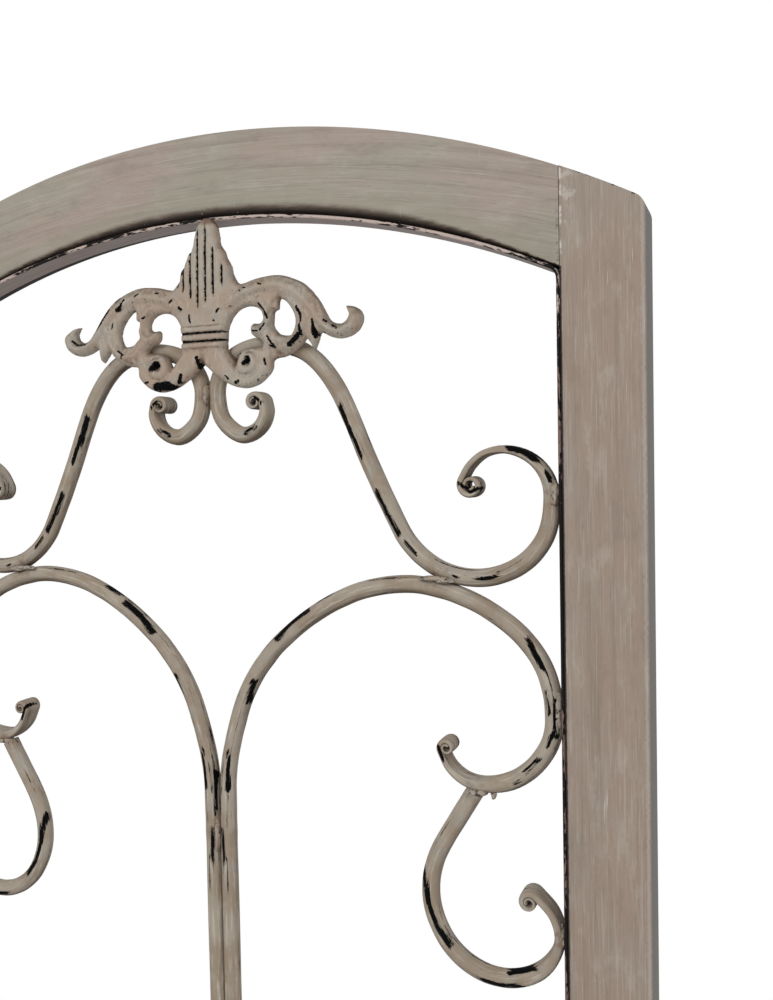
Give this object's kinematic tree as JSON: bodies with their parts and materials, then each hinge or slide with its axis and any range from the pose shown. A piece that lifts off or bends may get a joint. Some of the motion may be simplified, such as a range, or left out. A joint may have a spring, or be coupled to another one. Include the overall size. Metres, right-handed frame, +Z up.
{
  "type": "folding screen",
  "caption": "Folding room divider of arched wooden panels hinged in a zigzag, each filled with painted iron scrollwork and a fleur-de-lis casting under its arch.",
  "frame": {"origin": "on the floor at the middle of the standing screen", "axes": "+Z up, -Y towards the viewer of the decorated side, +X along the row of panels to that viewer's right"},
  "size_m": [1.2356, 0.1814, 1.7],
  "materials": {
    "painted_wood": "matt greige paint, rubbed and streaked along the grain, dark wax towards the opening",
    "painted_iron": "satin pale greige paint chipped to black iron",
    "aged_brass": "dull aged brass"
  },
  "bodies": {
    "left_panel": {"left_stile_right": "painted_wood", "left_stile_left": "painted_wood", "left_top_rail": "painted_wood", "left_bottom_rail": "painted_wood", "left_lining_strip": "painted_iron", "left_fleur_de_lis": "painted_iron", "left_shoulder_scroll_right": "painted_iron", "left_shoulder_scroll_left": "painted_iron", "left_centre_bar_right": "painted_iron", "left_centre_bar_left": "painted_iron", "left_upper_side_scroll_right": "painted_iron", "left_upper_side_scroll_left": "painted_iron", "left_lower_side_scroll_right": "painted_iron", "left_lower_side_scroll_left": "painted_iron", "left_middle_scroll_right": "painted_iron", "left_middle_scroll_left": "painted_iron", "left_lower_hinge_leaf_outer": "aged_brass", "left_upper_hinge_leaf_outer": "aged_brass"},
    "middle_panel": {"middle_stile_right": "painted_wood", "middle_stile_left": "painted_wood", "middle_top_rail": "painted_wood", "middle_bottom_rail": "painted_wood", "middle_lining_strip": "painted_iron", "middle_fleur_de_lis": "painted_iron", "middle_shoulder_scroll_right": "painted_iron", "middle_shoulder_scroll_left": "painted_iron", "middle_centre_bar_right": "painted_iron", "middle_centre_bar_left": "painted_iron", "middle_upper_side_scroll_right": "painted_iron", "middle_upper_side_scroll_left": "painted_iron", "middle_lower_side_scroll_right": "painted_iron", "middle_lower_side_scroll_left": "painted_iron", "middle_middle_scroll_right": "painted_iron", "middle_middle_scroll_left": "painted_iron", "left_lower_hinge_leaf_inner": "aged_brass", "left_lower_hinge_pin": "aged_brass", "left_upper_hinge_leaf_inner": "aged_brass", "left_upper_hinge_pin": "aged_brass", "right_lower_hinge_leaf_inner": "aged_brass", "right_lower_hinge_pin": "aged_brass", "right_upper_hinge_leaf_inner": "aged_brass", "right_upper_hinge_pin": "aged_brass"},
    "right_panel": {"right_stile_right": "painted_wood", "right_stile_left": "painted_wood", "right_top_rail": "painted_wood", "right_bottom_rail": "painted_wood", "right_lining_strip": "painted_iron", "right_fleur_de_lis": "painted_iron", "right_shoulder_scroll_right": "painted_iron", "right_shoulder_scroll_left": "painted_iron", "right_centre_bar_right": "painted_iron", "right_centre_bar_left": "painted_iron", "right_upper_side_scroll_right": "painted_iron", "right_upper_side_scroll_left": "painted_iron", "right_lower_side_scroll_right": "painted_iron", "right_lower_side_scroll_left": "painted_iron", "right_middle_scroll_right": "painted_iron", "right_middle_scroll_left": "painted_iron", "right_lower_hinge_leaf_outer": "aged_brass", "right_upper_hinge_leaf_outer": "aged_brass"}
  },
  "joints": [
    {"name": "left_fold", "type": "hinge", "parent": "middle_panel", "child": "left_panel", "pos_m": [-0.20715, -0.06709, 0.85], "axis": [0, 0, -1], "range_deg": [-44, 134]},
    {"name": "right_fold", "type": "hinge", "parent": "middle_panel", "child": "right_panel", "pos_m": [0.20715, 0.06709, 0.85], "axis": [0, 0, -1], "range_deg": [-44, 134]}
  ]
}
